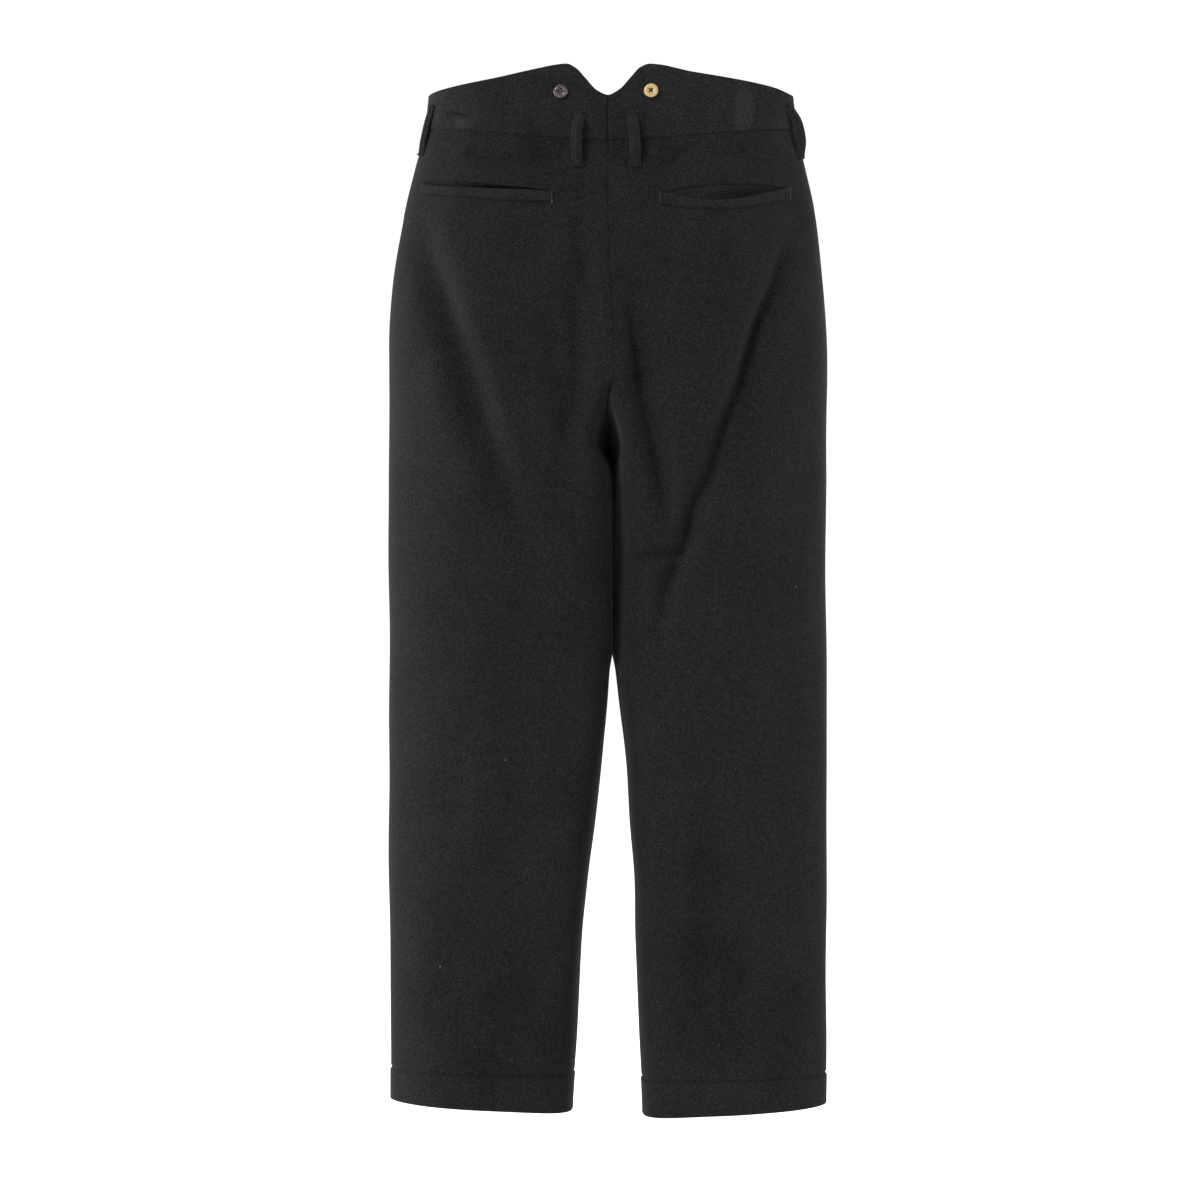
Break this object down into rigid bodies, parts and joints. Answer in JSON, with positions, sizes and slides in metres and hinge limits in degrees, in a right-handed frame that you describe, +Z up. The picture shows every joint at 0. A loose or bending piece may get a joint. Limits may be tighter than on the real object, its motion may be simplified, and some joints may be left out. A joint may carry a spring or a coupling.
{
  "type": "wool fishtail-back trousers, filled out and held at the waist",
  "caption": "Heavy charcoal wool trousers with a fishtail back, brace buttons, belt loops and welt back pockets.",
  "frame": {"origin": "middle of the waist, at half the height of the waistband's sides", "axes": "+Z up along the legs, +Y the way the wearer faces, +X the wearer's right"},
  "size_m": [0.4688, 0.1861, 1.1116],
  "materials": {
    "wool": "brushed melton wool with a short nap",
    "black_horn": "polished",
    "pale_horn": "satin"
  },
  "bodies": {
    "root": {"back_panel_left": "wool", "back_panel_right": "wool", "front_panel_left": "wool", "front_panel_right": "wool", "waistband_back_left": "wool", "waistband_back_right": "wool", "waistband_front_left": "wool", "waistband_front_right": "wool", "pocket_welt_left": "wool", "pocket_welt_right": "wool", "fly_front": "wool", "waistband_tab": "wool", "belt_loop_back_left": "wool", "belt_loop_back_right": "wool", "belt_loop_side_left": "wool", "belt_loop_side_right": "wool", "belt_loop_front_left": "wool", "belt_loop_front_right": "wool", "brace_button_back_left": "black_horn", "brace_button_back_right": "pale_horn", "brace_button_front_left_outer": "black_horn", "brace_button_front_left_inner": "black_horn", "brace_button_front_right_inner": "black_horn", "brace_button_front_right_outer": "black_horn", "waist_button": "black_horn"}
  },
  "joints": []
}
